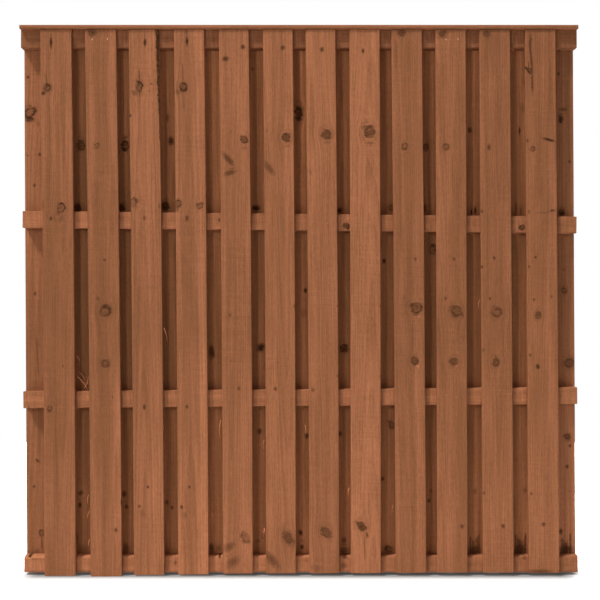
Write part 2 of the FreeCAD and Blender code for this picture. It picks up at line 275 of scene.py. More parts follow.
SPOTS_AND_HIGHLIGHTS = {
    "front_board_01": (
        (51, 42.3, 1.5, 3, 1), (43.4, 93.3, 2.4, 0.8, 0.9, -30), (51, 218.5, 1.5, 1.6),
        (42.8, 205, 1, 6, 0.4), (58.6, 213.7, 2.4, 1.2, 0.4), (63, 366, 1, 1.5, 0.4),
        (61, 218, 3, 1.5, 0.3, 20), (46, 76, 1.2, 3, 0.3), (49.3, 411, 2.5, 0.6, 0.6),
        (61.2, 203.5, 2.6, 0.5, 0.9, -8),
    ),
    "front_board_02": (
        (104.5, 260, 1.5, 1.2, 0.6), (97.5, 298.5, 1.5, 1.2, 0.5), (116, 530, 1.7, 1.4, 0.7),
        (122, 503, 1.4, 3.2, 0.9), (112.5, 397, 1, 1.6, 0.4),
    ),
    "front_board_03": (
        (145, 42.4, 1.6, 2.2, 1), (134.5, 93, 3.2, 0.8, 0.45, 45), (130.5, 115.7, 1.2, 1.5),
        (159.3, 206, 1.2, 2.4, 0.5), (144.5, 218, 1.6, 1.8, 0.6), (144.3, 407, 1.5, 2),
        (148, 487, 1.4, 1.1), (139.5, 506.5, 1.5, 1.2), (142, 513, 3.4, 1.4, 0.25, -20),
        (151.3, 84, 1.6, 0.6, 0.5), (149.5, 91, 1.3, 1, 0.35),
    ),
    "front_board_04": (
        (187, 41, 1.5, 2.6, 1), (177.5, 92, 3.4, 0.7, 0.4, 40), (187, 218, 1.8, 1.8, 0.7),
        (187, 407, 1.6, 1.5, 0.7), (189.5, 487, 1.3, 1.2), (181.5, 507, 1.6, 1.4),
        (184, 515, 3, 1.3, 0.25, -20), (177, 209, 1.8, 2, 0.5, 15),
    ),
    "front_board_05": (
        (243, 47, 2.2, 1.2, 0.85), (225.5, 58.8, 3.2, 0.9, 0.85, -35), (230, 315, 1.5, 1.2, 0.5),
        (239, 388.5, 1.8, 1.3, 0.6), (230.5, 132, 0.9, 2.2, 0.4), (228.5, 159.5, 3, 3, 0.7, -40),
        (230.5, 172.5, 6.4, 0.45, 0.65, -20), (229, 547, 7, 0.6, 0.52, -36),
        (233, 562, 8, 0.6, 0.52, -36), (244.5, 148, 3.4, 0.5, 0.25), (231, 361, 1, 1.4, 0.3),
    ),
    "front_board_06": (
        (282.8, 47.8, 2.2, 1.2), (275.5, 389, 1.8, 1.3, 0.7), (269, 168, 3.4, 2.6, 0.55, -36),
        (266.8, 131, 0.8, 2, 0.4), (272.5, 560.5, 4.4, 2.4, 0.6, -40), (286.5, 146, 3.6, 0.4, 0.25),
        (294.6, 306, 1, 1.6, 0.6),
    ),
    "front_board_07": (
        (322, 49.5, 1.9, 1.5), (313, 390, 1.8, 1.3, 0.6), (310.5, 172, 1.4, 3, 0.3, -20),
        (327.5, 142.5, 3.8, 0.4, 0.3), (337.4, 306, 1, 1.6, 0.6), (337.6, 376, 1, 1.6, 0.5),
        (316, 568, 4, 1.4, 0.25, -60),
    ),
    "front_board_08": (
        (363, 51, 1.5, 1.6, 0.9), (366.5, 534, 1.3, 3.0769, 0.8, -25), (370, 143, 4.2, 0.4, 0.35),
        (380.3, 306, 1, 1.6, 0.6), (380.4, 376, 1, 1.6, 0.5), (361.5, 526.5, 1.1, 1, 1),
        (364.5, 548, 0.5, 24, 0.3), (371.5, 164, 3.6, 3.2, 0.14),
    ),
    "front_board_09": (
        (415.5, 259, 1.5, 1.2, 0.6), (411.5, 305, 2.2, 1, 0.7, -40), (404, 298, 1.4, 1.2, 0.3),
        (419.3, 316.6, 2, 1, -0.8, 40), (417.6, 366.2, 2, 0.7, -0.8, 40), (405, 309, 1.2, 0.8, -0.4),
    ),
    "front_board_10": (
        (454, 259, 1.6, 1.2, 0.6), (445.5, 298.5, 1.5, 1.2, 0.6), (462, 526.5, 2, 1.2, 0.75),
        (442.5, 367, 1.8, 3.2, 0.2), (462.5, 314.5, 1.2, 3, 0.5, -10), (456.5, 366.3, 1.8, 0.7, -0.8, 40),
    ),
    "front_board_11": (
        (489, 147.5, 2, 1.6, 0.7), (482, 211.5, 1.5, 1.3, 0.7), (494.3, 258, 1.6, 1.3, 0.7, -20),
        (482, 267, 1.5, 1.2, 0.7), (490, 298.5, 1.3, 1.5, 0.7), (483.5, 350, 1.8, 1.2, 0.4),
        (484, 493, 1.5, 1.2, 0.6), (503, 526, 2.2, 1.2, 0.75), (496, 356.5, 0.7, 2.2, 0.5, -10),
    ),
    "front_board_12": (
        (549, 139.8, 1.7, 3.9, 1, -76), (527.5, 140.6, 1.3, 1.3, 0.7), (552.5, 211, 3.2, 0.6, 0.8, -8),
        (544, 212.8, 7, 0.1, 0.35), (529, 212, 1.3, 1.5, 0.7), (535.5, 257.3, 1.4, 1.2, 0.7),
        (529.3, 266.7, 1.4, 1.2, 0.6), (534, 299.5, 1.4, 1.2, 0.6), (551.5, 296.5, 1.4, 1.2, 0.5),
        (530, 355, 1.4, 1.2, 0.6), (538, 366.5, 2.2, 1.3, 0.9), (531.5, 493.5, 1.4, 1.2, 0.6),
        (543.5, 524.5, 2, 1.2, 0.7), (539, 571.5, 13, 0.18, 0.65),
    ),
    "back_board_01": (
        (28, 77, 1.4, 1.2), (30, 120, 4.6, 0.5, 0.6), (38, 124, 2, 1.6, 0.3), (39.5, 154.5, 1.5, 1.2),
        (28, 155.5, 2, 0.5, 0.4), (34.5, 185.3, 1.7, 1.1), (51, 190, 1.2, 1.2, 0.3),
        (35, 293.5, 1.6, 1.2, 0.7), (37.5, 460.5, 1.4, 1.8, 0.8, -50), (34, 486.5, 1.3, 1.2),
        (42, 544, 1.2, 6, 0.6), (37, 552, 4, 0.7, 0.3), (28.5, 407.5, 1.8, 0.8, 0.6),
    ),
    "back_board_02": (
        (82.6, 146.5, 1.5, 1.2, -0.9, 40), (80.5, 493, 2.4, 1.3, 0.7, 40), (80, 505, 1.8, 1.6, 0.9),
        (77, 540, 1.6, 6, 0.5), (84, 549, 3, 1.6, 0.3), (83, 377, 3, 2, 0.3),
    ),
    "back_board_03": (
        (126.4, 146.8, 1.5, 1.2, -0.9, 40), (124, 494, 2.6, 1.4), (126.5, 506.5, 1.9, 1.3),
        (126, 548, 3.6, 1.4, 0.5),
    ),
    "back_board_04": (
        (171, 141, 3.4, 1.4, 0.95), (167, 502, 1.8, 1.3), (172, 507.5, 1.6, 1.3),
        (167.5, 118, 1.8, 2.4, 0.6),
    ),
    "back_board_05": ((211.5, 352, 3.4, 2.2, 0.85), (211, 548, 3, 1.6, 0.7), (219, 548, 2, 1.6, 0.4)),
    "back_board_06": (
        (252.5, 69, 1.8, 1.2, 0.5), (261, 347.5, 4.2, 1.1, 1), (256, 208, 4.4, 0.7, 1),
        (259.5, 431.5, 2.4, 1.4), (263, 536, 1, 8, 0.9, 20), (259, 541, 4.2, 0.5, 0.4),
    ),
    "back_board_07": (
        (299, 119, 3, 0.8, 0.9), (305.5, 290.5, 1.8, 1.5, 1), (307, 436, 2.2, 1.4),
        (300.5, 532.5, 2.2, 1.3, 0.9, -20), (302, 547, 1.8, 1.3, 0.9), (304, 313, 3, 1.6, 0.3),
    ),
    "back_board_08": (
        (340, 433.5, 2.4, 1.3), (344, 540, 2.6, 1.2, 0.6), (344, 550, 5.5, 0.6, 0.5),
        (339.5, 210.5, 2.4, 1.1, 1),
    ),
    "back_board_09": ((384, 261, 1.8, 1.5, 1), (382.5, 479, 1.7, 1.3)),
    "back_board_10": (
        (424.8, 208, 1.8, 2.4, 0.7), (431, 491, 1.8, 1.3, 0.5), (429, 500.5, 1.6, 1.3),
        (433, 246, 1.6, 1.3, 0.7),
    ),
    "back_board_11": (
        (470, 130, 2.2, 1.5), (475, 491, 2.2, 1.4, 0.4), (471.5, 212.25, 0.8, 4.0625, 1),
        (475.5, 210.75, 0.9, 5.2778, 1), (474.5, 550, 6.5, 0.8, 0.6),
    ),
    "back_board_12": (
        (519.5, 131, 1.2, 3.4, 0.9), (525, 490.5, 2, 1.4, 0.45), (516, 208, 0.7, 11.4286, 0.7),
        (521, 211, 0.7, 7.1429, 0.7), (520.5, 549.5, 6.8, 0.8, 0.62), (522.5, 108, 2.4, 2, 0.3),
    ),
    "back_board_13": (
        (558.5, 73.8, 1.2, 1.6), (563, 109.5, 4.6, 0.4, 0.6), (560.5, 119.3, 1.7, 1.9, 1),
        (569.5, 161.5, 1.4, 1.2), (562, 213.5, 2.8, 0.9, 0.9), (563.5, 270, 1.2, 1.2, 0.5),
        (570, 446, 1.5, 1.2), (567, 466.5, 1.8, 1.3), (560.5, 531.5, 2.2, 1.5), (566, 549, 6.5, 0.75),
    ),
    "upper_rail": (
        (219.3, 220, 1.2, 2, 0.7), (218.4, 230.6, 2.2, 0.6, 0.7), (217.4, 228, 1.4, 1.2, -0.8),
        (348, 217, 2.4, 1.4, -0.7), (348.2, 228.5, 0.7, 3.5714, 1, 10),
    ),
    "lower_rail": ((29, 407, 0.8, 2, 0.6),),
    "bottom_rail": (
        (29.6, 556.6, 1.9, 1, 1), (345, 557, 2.6, 0.8, 0.7), (344, 565.5, 3.2, 1, 0.45),
        (175.5, 562.5, 1.5, 1.4, 0.6), (219.7, 556, 1.2, 1.8, 1), (524.5, 558, 2.4, 0.9, 0.55),
        (36, 559, 9, 0.05, 0.6),
    ),
}

# Long cracks: points from the top down in the photograph's pixels, the half width there and the strength

CRACKS = {
    "front_board_01": (((51, 33), (51.2, 50), 0.55, 0.8), ((46.4, 77), (47, 86), 0.8, 0.5)),
    "front_board_03": (
        ((139, 68), (139.3, 81), 0.6, 0.65), ((139.5, 89), (140, 98), 0.55, 0.45),
        ((144.9, 33), (145, 49), 0.5, 0.55),
    ),
    "front_board_04": (
        ((187, 29), (187, 48), 0.55, 0.7), ((182.6, 63), (182.9, 82), 0.65, 0.6),
        ((183.2, 92), (184, 110), 0.9, 0.3),
    ),
    "front_board_08": (((364.5, 534), (364.8, 560), 0.7, 0.4),),
    "front_board_09": (((413, 318), (412, 352), 0.7, 0.25),),
    "front_board_12": (
        ((529.3, 31), (530.8, 37), (529.8, 46), (531, 56), (531.9, 66), (532, 78), (532.6, 96), 1.25, 0.75),
        ((524.3, 65.8), (527.2, 69), (530.6, 74.5), 1.4, 1),
    ),
    "back_board_11": (
        ((470.3, 536), (470.5, 557), 0.9, 0.7), ((473.2, 540), (473.2, 557), 0.8, 0.65),
        ((476, 537), (476, 557), 0.9, 0.7), ((479, 533), (479, 557), 0.8, 0.65),
    ),
    "back_board_12": (
        ((515.5, 533), (515.8, 557), 0.9, 0.7), ((519, 538), (519, 557), 0.9, 0.75),
        ((522.3, 540), (522.5, 557), 0.8, 0.7), ((525.5, 532), (525.5, 557), 0.9, 0.7),
    ),
    "back_board_13": (
        ((562, 537), (562, 557), 0.9, 0.7), ((566, 541), (566, 557), 0.9, 0.7),
        ((570.3, 532), (570.3, 557), 1.1, 0.7),
    ),
    "back_board_01": (((36.5, 336), (38.5, 376), 0.8, 0.45), ((33, 60), (33.5, 100), 0.6, 0.2)),
}

# Which of the frame's axes lie across, through and along each kind of timber

AXES = {"board": (0, 1, 2), "rail": (2, 1, 0), "capping": (1, 2, 0)}

# How near a timber's end a point of the CAD counts as one of that end's

NEAR_END = 3 * MM

# How far each front board's middle stands to the right of the line between its ends, in millimetres

CROOKS = (2.3, 2.3, 1.6, 1.6, 2.3, 2.0, 1.6, 1.0, 1.0, 0.6, 0.0, 0.3)

# How much lighter or darker each front board is than the wood's own colour

FRONT_TONES = (-0.12, -0.09, -0.09, -0.05, -0.04, -0.01, 0.03, 0.07, -0.1, -0.07, -0.07, -0.01)

# The same for the back boards that the gaps show

BACK_TONES = (0, -0.22, -0.09, -0.09, 0.17, -0.02, 0.18, -0.02, 0.01, -0.11, 0.07, 0.1, 0)

# The same at places along other pieces, as shares of their length from the left end or the foot

TONES = {
    "bottom_rail": ((0, 0.2), (0.5, 0.16), (1, -0.09)),
    "lower_rail": ((0, -0.01), (0.5, 0.08), (1, 0.1)),
    "upper_rail": ((0, 0.12), (0.5, -0.04), (1, -0.07)),
    "top_rail": ((0, -0.12), (0.5, -0.12), (1, -0.17)),
    "capping": ((0, 0), (1, 0)),
    "back_board_01": ((0.2, -0.1), (0.45, -0.12), (0.8, 0.1)),
    "back_board_13": ((0.1, 0.24), (0.25, 0.12), (0.5, -0.06)),
    # Back boards in the gaps: lighter all along, most at foot and top, as painted light in the gaps
    "back_board": ((0.08, 0.42), (0.25, 0.25), (0.42, 0.1), (0.6, 0.14), (0.75, 0.22), (0.95, 0.37)),
    "front_board": ((0.1, 0.03), (0.45, -0.07), (0.9, 0.06)),
    "front_board_03": ((0.1, 0.1), (0.45, -0.07), (0.9, 0.14)),
    "front_board_04": ((0.1, 0.16), (0.45, -0.07), (0.9, 0.13)),
    "front_board_07": ((0.1, -0.1), (0.45, -0.07), (0.9, 0.08)),
    "front_board_11": ((0.1, 0.05), (0.45, -0.07), (0.9, -0.02)),
    "front_board_12": ((0.1, -0.02), (0.45, -0.07), (0.9, -0.09)),
}

# Broad streaks along a front board: a photograph column at mid height, its half width and its tone

STREAKS = {
    1: ((70.5, 3.2, 0.12), (55, 5, -0.05), (44, 2, 0.04)),
    2: ((93, 3, 0.06), (103, 5, -0.08), (117, 3.5, 0.1)),
    3: ((135, 5, -0.04), (153, 6, 0.07)),
    4: ((189, 7, -0.09), (202, 4, 0.12), (178, 1.2, 0.08)),
    5: ((223.5, 1.5, 0.08), (232, 5, -0.05), (246, 5, 0.05)),
    6: ((270, 3, 0.05), (280, 5, -0.05), (291, 3, 0.05)),
    7: ((311, 3, 0.04), (322, 5, -0.03), (333, 3, 0.03)),
    8: ((355, 4, 0.03), (367, 5, 0.02), (377, 3, -0.03)),
    9: ((396, 2, 0.06), (411, 4, -0.05), (421, 2.5, 0.05)),
    10: ((438.5, 2, 0.07), (449, 3, 0.05), (457, 5, -0.06)),
    11: ((483, 3, 0.05), (499, 5, -0.06), (509, 2, 0.06)),
    12: ((530, 2.5, 0.05), (545, 6, -0.03), (555, 2, 0.05)),
}
# The same for the back boards that the gaps show. The dark ones lie on each gap's left side, in the front
# board's shadow, and are painted shade there.
BACK_STREAKS_AND_GAP_SHADE = {
    5: ((214, 2.5, 0.12), (208, 2.4, -0.16)),
    7: ((302.6, 1.7, 0.3), (297, 2.2, -0.14)),
    10: ((434, 1.5, 0.15),),
    11: ((474.5, 1.5, 0.25), (469, 2.6, -0.2)),
    12: ((518.3, 1.5, 0.25), (522.8, 1.4, 0.22), (513.5, 2.8, -0.24)),
}

# A timber's own streaks: how many, the greatest half width in millimetres and the spread of their tones

FRONT_STREAKING = (7, 12, 0.045)
BACK_STREAKING = (14, 7, 0.08)
GRAIN_SLOPE = 0.008
STREAKS_READ_AT = 310

# What is added to a piece's seed for its sway and its streaks

SWAY_SEED = 500
STREAK_SEED = 900

# The waney corners follow the logs that the timbers were sawn from, as in the construction

WANES = {
    "front_board_03": {
        "width": 11 * MM, "run": 420 * MM, "heart": (-64.5 * MM, 94 * MM), "end": 1, "bark": 1,
    },
    "bottom_rail": {"width": 8 * MM, "run": 450 * MM, "heart": (-87.5 * MM, 59 * MM), "end": 0, "bark": 0},
}
WANE_STEP = 2 * MM
WANE_STEPS = 8
WANE_ROW_STEP = 3 * MM

# How a log's bark is ragged: seeds and wavelengths of two waves, what is taken off them, and their depth

BARK_WAVES = ((77, (40 * MM, 40 * MM, 22 * MM)), (78, (16 * MM, 16 * MM, 9 * MM)))
BARK_OFFSET = 0.6
BARK_DEPTH = 0.9 * MM
BARK_RISE = (0, 0.6 * MM)
WHOLE_RISE = (-2 * MM, 3 * MM)

# How far the arrises of each kind of timber are eased, and the pieces that are chipped less than others

EASES = {"board": 0.9 * MM, "capping": 0.9 * MM, "bottom_rail": 4.5 * MM, "rail": 1.3 * MM}
CRISP_PIECES = ("capping", "top_rail", "upper_rail", "lower_rail", "back")
CRISP = 0.35

# The first and last back boards, which no front board hides

OPEN_BOARDS = ("back_board_01", "back_board_13")


def listed_for(name, table):
    """Gives the table's value for the first of its words that stands in a piece's name."""
    return next(value for word, value in table.items() if word in name)


def sighted(x, y, depth):
    """Gives x and z of what a pixel of the photograph shows at a depth, and the size of a pixel there."""
    scale = (depth - CAMERA_Y) / FOCAL_PIXELS
    return CAMERA_X + (x - IMAGE_MIDDLE) * scale, CAMERA_Z - (y - IMAGE_MIDDLE) * scale, scale


class Timber:
    """A sawn piece as the CAD has it: its first end's middle, its three directions and its size."""

    def __init__(self, name):
        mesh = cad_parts[name].data
        points = np.empty(len(mesh.vertices) * 3)
        mesh.vertices.foreach_get("co", points)
        points = points.reshape(-1, 3)
        across, through, along = listed_for(name, AXES)
        reach = points[:, along]
        ends = [points[reach < reach.min() + NEAR_END], points[reach > reach.max() - NEAR_END]]
        middles = [(end.min(0) + end.max(0)) / 2 for end in ends]
        run = middles[1] - middles[0]
        self.name = name
        self.ease = listed_for(name, EASES)
        self.start = middles[0]
        self.length = np.linalg.norm(run)
        self.along = run / self.length
        self.through = np.eye(3)[through]
        self.across = np.eye(3)[across]
        self.across = self.across - self.along * (self.across @ self.along)
        self.across /= np.linalg.norm(self.across)
        whole_end = ends[0] if WANES.get(name, {}).get("end") != 0 else ends[1]
        self.width, self.thick = (np.ptp(whole_end @ way) for way in (self.across, self.through))

    def place(self, across, through, along):
        """Takes lengths across, through and along the timber to points of the frame."""
        ways = zip((across, through, along), (self.across, self.through, self.along))
        return self.start + sum(np.asarray(length)[..., None] * way for length, way in ways)

    def from_photo(self, x, y):
        """Gives where a pixel of the photograph falls on the front face.

        The place is given as lengths across and along, with the size of a pixel there.
        """
        sight_x, sight_z, scale = sighted(x, y, self.start[1] - self.thick / 2)
        offset = (np.array([sight_x, 0, sight_z]) - self.start) * (1, 0, 1)
        return offset @ self.across, offset @ self.along, scale


COLUMN_STEP = 5.6 * MM
ROW_STEP = 6.5 * MM
END_EASE = 0.9 * MM


def face_steps(size, ease, step):
    """Places across a face from corner to corner: the corner, the end of its ease, and then even steps."""
    inner = np.linspace(2 * ease, size - 2 * ease, max(2, round(size / step)))
    return np.concatenate([[0, ease], inner, [size - ease, size]])


def timber_steps(timber):
    """Gives the places across a timber's faces, through its edges and along it, closer at its bark."""
    face = face_steps(timber.width, timber.ease, COLUMN_STEP)
    edge = np.array([timber.ease, timber.thick / 2, timber.thick - timber.ease])
    rows = face_steps(timber.length, END_EASE, ROW_STEP)
    wane = WANES.get(timber.name)
    if wane:
        closer = np.arange(1, WANE_STEPS) * WANE_STEP
        face = np.union1d(face, timber.width - closer)
        edge = np.union1d(edge, closer[(closer > timber.ease) & (closer < timber.thick - 2 * timber.ease)])
        closer = np.arange(2, wane["run"] / WANE_ROW_STEP) * WANE_ROW_STEP
        rows = np.union1d(rows, timber.length - closer if wane["end"] else closer)
    return face, edge, rows


def section_loop(timber, face, edge):
    """Gives the points round a sawn section, with how much of an arris each is: 1 at a corner.

    The loop runs along the front face, through the far edge, back along the rear face and through the
    near edge.
    """
    half_wide, half_thick = timber.width / 2, timber.thick / 2
    face, edge = face - half_wide, edge - half_thick
    sides = np.full(len(edge), half_wide)
    fronts = np.full(len(face), half_thick)
    across = np.concatenate([face, sides, face[::-1], -sides])
    through = np.concatenate([-fronts, edge, fronts, edge[::-1]])
    ease = timber.ease / 2
    corner = (np.abs(across) > half_wide - ease) & (np.abs(through) > half_thick - ease)
    return across, through, corner.astype(float)


def tube_faces(rows, count):
    """Joins rows of a closed loop of points with quads."""
    row, place = np.meshgrid(np.arange(rows - 1), np.arange(count), indexing="ij")
    ahead = (place + 1) % count
    here, beyond = row * count, (row + 1) * count
    return np.stack([here + place, here + ahead, beyond + ahead, beyond + place], -1).reshape(-1, 4)


def grid_faces(numbers):
    """Joins a grid of point numbers with quads."""
    corners = (numbers[:-1, :-1], numbers[1:, :-1], numbers[1:, 1:], numbers[:-1, 1:])
    return np.stack(corners, -1).reshape(-1, 4)


def end_numbers(first, columns, deep, inner_first):
    """Numbers an end's points as a grid: its loop round the outside, and inner points within."""
    loop = first + np.arange(2 * (columns + deep))
    numbers = np.empty((columns, deep + 2), int)
    numbers[:, 0] = loop[:columns]
    numbers[-1, 1:-1] = loop[columns : columns + deep]
    numbers[:, -1] = loop[columns + deep : 2 * columns + deep][::-1]
    numbers[0, 1:-1] = loop[2 * columns + deep :][::-1]
    numbers[1:-1, 1:-1] = inner_first + np.arange((columns - 2) * deep).reshape(-1, deep)
    return numbers


def close_ends(tube, columns, shares):
    """Closes both ends of a tube of loops, and gives all points and faces.

    An end's inner points stand at shares of the way from its front edge to its rear edge.
    """
    rows, count = tube.shape[:2]
    parts = [tube.reshape(-1, 3)]
    quads = [tube_faces(rows, count)]
    shares = shares[None, :, None]
    for end in (0, rows - 1):
        inner_first = sum(len(part) for part in parts)
        numbers = end_numbers(end * count, columns, shares.size, inner_first)
        front, rear = (parts[0][numbers[1:-1, side], None] for side in (0, -1))
        parts.append((front * (1 - shares) + rear * shares).reshape(-1, 3))
        faces = grid_faces(numbers)
        quads.append(faces if end == 0 else faces[:, ::-1])
    return np.concatenate(parts), quads


def add_object(name, data):
    """Makes an object of the data and puts it in the scene."""
    made = bpy.data.objects.new(name, data)
    bpy.context.scene.collection.objects.link(made)
    return made


def make_mesh(name, points, faces, attributes, material):
    """Makes a smooth mesh object from arrays of faces, each array with its own count of corners."""
    mesh = bpy.data.meshes.new(name)
    mesh.vertices.add(len(points))
    mesh.vertices.foreach_set("co", points.astype(np.float32).ravel())
    corners = np.concatenate([array.ravel() for array in faces])
    sizes = np.concatenate([np.full(len(array), array.shape[1]) for array in faces])
    mesh.loops.add(len(corners))
    mesh.loops.foreach_set("vertex_index", corners.astype(np.int32))
    mesh.polygons.add(len(sizes))
    mesh.polygons.foreach_set("loop_start", (np.cumsum(sizes) - sizes).astype(np.int32))
    mesh.polygons.foreach_set("use_smooth", np.ones(len(sizes), bool))
    mesh.update(calc_edges=True)
    mesh.validate()
    for key, values in attributes.items():
        kind, field = ("FLOAT_VECTOR", "vector") if values.ndim == 2 else ("FLOAT", "value")
        layer = mesh.attributes.new(key, kind, "POINT")
        layer.data.foreach_set(field, values.astype(np.float32).ravel())
    mesh.materials.append(material)
    piece = add_object(name, mesh)
    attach(piece, "root")
    return piece


# A mark fades where another is as near, by how much farther that one is, and with the distance from itself

BORDER_SPAN = (2 * MM, 7 * MM)
FADE_SPAN = (12 * MM, 28 * MM)
OUT_OF_SIGHT = 1.0
CRACK_OUT_OF_SIGHT = 9.0
CRACK_OVERRUN = 1.6
BEND_REACH = 2.6


def nearest_mark(timber, marks, across, along):
    """Gives the nearest mark's own coordinates at each point, in which its outline is the unit circle.

    The last two are its strength and its rim's, which fall to 0 far from it and where another is as near.
    """
    count = len(across)
    nearest = np.full(count, OUT_OF_SIGHT)
    second = nearest.copy()
    field = np.zeros((count, 4))
    for x, y, half_wide, half_tall, turn, strength, rim in marks:
        middle_across, middle_along, scale = timber.from_photo(x, y)
        lean = math.radians(turn)
        aside, ahead = across - middle_across, along - middle_along
        if not timber.name.startswith(("front", "back")):
            aside, ahead = ahead, aside
        local_x = (aside * math.cos(lean) - ahead * math.sin(lean)) / (half_wide * scale)
        local_y = (aside * math.sin(lean) + ahead * math.cos(lean)) / (half_tall * scale)
        outside = (np.hypot(local_x, local_y) - 1) * min(half_wide, half_tall) * scale
        closer = outside < nearest
        second = np.where(closer, nearest, np.minimum(second, outside))
        nearest = np.where(closer, outside, nearest)
        field[closer, :2] = np.stack([local_x, local_y], -1)[closer]
        field[closer, 2:] = strength, rim
    clear = smooth(*BORDER_SPAN, second - nearest) * (1 - smooth(*FADE_SPAN, nearest))
    field[:, 2:] *= clear[:, None]
    return field


def nearest_crack(timber, cracks, across, along):
    """Gives each point's place by the nearest crack, in half widths and half lengths, and its strength."""
    field = np.tile([CRACK_OUT_OF_SIGHT, CRACK_OUT_OF_SIGHT, 0], (len(across), 1))
    for *points, half_wide, strength in cracks:
        line = np.array([timber.from_photo(*point) for point in points])[::-1]
        middle, half_long = (line[0, 1] + line[-1, 1]) / 2, (line[-1, 1] - line[0, 1]) / 2
        beside = (across - np.interp(along, line[:, 1], line[:, 0])) / (half_wide * line[0, 2])
        ahead = (along - middle) / half_long
        closer = (np.abs(beside) < np.abs(field[:, 0])) & (np.abs(ahead) < CRACK_OVERRUN)
        field[closer, :2] = np.stack([beside, ahead], -1)[closer]
        field[closer, 2] = strength
    return field


def grain_bend(timber, marks, across, along):
    """Gives how far the grain is carried across where it flows round a knot like a stream round a post.

    It is the place beside the knot over the square of the distance, both in radii, times a bell curve.
    """
    bend = np.zeros(len(across))
    for x, y, half_wide, half_tall, _, strength, _ in marks:
        middle_across, middle_along, scale = timber.from_photo(x, y)
        aside = (across - middle_across) / (half_wide * scale)
        ahead = (along - middle_along) / (half_tall * scale)
        ring = np.maximum(np.hypot(aside, ahead), 1)
        fall = np.exp(-(((ring - 1) / BEND_REACH) ** 2))
        bend += strength * half_wide * scale * aside / ring**2 * fall
    return bend


def bark_line(timber, along):
    """Gives the heart of a waney timber's log, and the log's radius at each length along the timber."""
    wane = WANES[timber.name]
    corner = np.array([timber.width / 2, -timber.thick / 2])
    heart = corner + np.array(wane["heart"])
    whole = np.hypot(*(corner - heart))
    at_end = np.hypot(corner[0] - wane["width"] - heart[0], corner[1] - heart[1])
    from_end = timber.length - along if wane["end"] else along
    return heart, at_end + (whole - at_end) * from_end / wane["run"]


def cut_wane(timber, across, through, along):
    """Draws the points that lie outside the log in to its ragged bark, and gives which they are."""
    if timber.name not in WANES:
        return across, through, np.zeros(across.shape)
    heart, radius = bark_line(timber, along)
    ragged = sum(Waver(*wave)(across, through, along) for wave in BARK_WAVES)
    away = np.hypot(across - heart[0], through - heart[1])
    whole = smooth(*WHOLE_RISE, away.max(1, keepdims=True) - radius)
    limit = radius + BARK_DEPTH * (ragged - BARK_OFFSET) * whole
    ratio = np.minimum(limit / away, 1)
    bark = smooth(*BARK_RISE, away - limit) * WANES[timber.name]["bark"]
    return heart[0] + (across - heart[0]) * ratio, heart[1] + (through - heart[1]) * ratio, bark


def hidden_marks(timber, dice, count):
    """Gives knots on the part of a back board that front boards hide, in the photograph's pixels."""
    marks = []
    for place in np.sort(dice.uniform(0.04, 0.96, count)):
        aside = dice.choice((-1, 1)) * dice.uniform(0.41, 0.45) * timber.width
        point = timber.place(aside, -timber.thick / 2, place * timber.length)
        scale = (point[1] - CAMERA_Y) / FOCAL_PIXELS
        x = IMAGE_MIDDLE + (point[0] - CAMERA_X) / scale
        y = IMAGE_MIDDLE - (point[2] - CAMERA_Z) / scale
        marks.append(knot(x, y, dice.uniform(1.6, 3.0), dice.uniform(1, 1.5), turn=dice.uniform(-20, 20)))
    return marks


def board_streaks(timber, seed, across, along, bend):
    """Gives the tone of broad streaks that run along a timber: its listed ones, and some of its own."""
    dice = np.random.default_rng(seed + STREAK_SEED)
    tones = np.zeros(len(across))
    back = timber.name.startswith("back")
    count, widest, contrast = BACK_STREAKING if back else FRONT_STREAKING
    if "board" in timber.name:
        # On back boards the listed dark streaks are painted shade on the gaps' shaded left sides
        for x, half, tone in (BACK_STREAKS_AND_GAP_SHADE if back else STREAKS).get(int(timber.name[-2:]), ()):
            middle, _, scale = timber.from_photo(x, STREAKS_READ_AT)
            tones += tone * np.exp(-(((across - bend - middle) / (half * scale)) ** 2))
    for _ in range(count):
        middle, half = dice.uniform(-0.5, 0.5) * timber.width, dice.uniform(3, widest) * MM
        slope, tone = dice.normal(0, GRAIN_SLOPE), dice.normal(0, contrast)
        fade = 0.5 + 0.5 * np.sin(along * dice.uniform(1.5, 5) + dice.uniform(0, 6.3))
        tones += tone * fade * np.exp(-(((across - bend - middle - slope * along) / half) ** 2))
    return tones


def tone_along(name, share):
    """Gives a piece's own tone at shares of its length."""
    listed = TONES[name if name in TONES else name[:-3]]
    tone = np.interp(share, *zip(*listed))
    own = {"front": FRONT_TONES, "back": BACK_TONES}.get(name.split("_")[0])
    return tone + own[int(name[-2:]) - 1] if own else tone


# Chips and tears of the arrises: what is added to the seed, the wavelengths across, through and along the
# timber, the span of the wave over which the wear grows, and its full depth

WEAR = (
    (0, (30 * MM, 30 * MM, 14 * MM), (0.45, 1.2), 1.0 * MM),
    (300, (60 * MM, 60 * MM, 26 * MM), (1.0, 1.6), 1.6 * MM),
)
EASED_SHARE = 0.45
SWAY_WAVES = (1.0, 1.0, 0.5)
SWAY_DEPTH = 0.3 * MM
KNOT_SINK = 0.4 * MM
FACE_SKIN = 0.1 * MM
HIDDEN_KNOTS = 5
HEART_DEPTHS_MM = (25, 90)
GRAIN_APART = 10.0


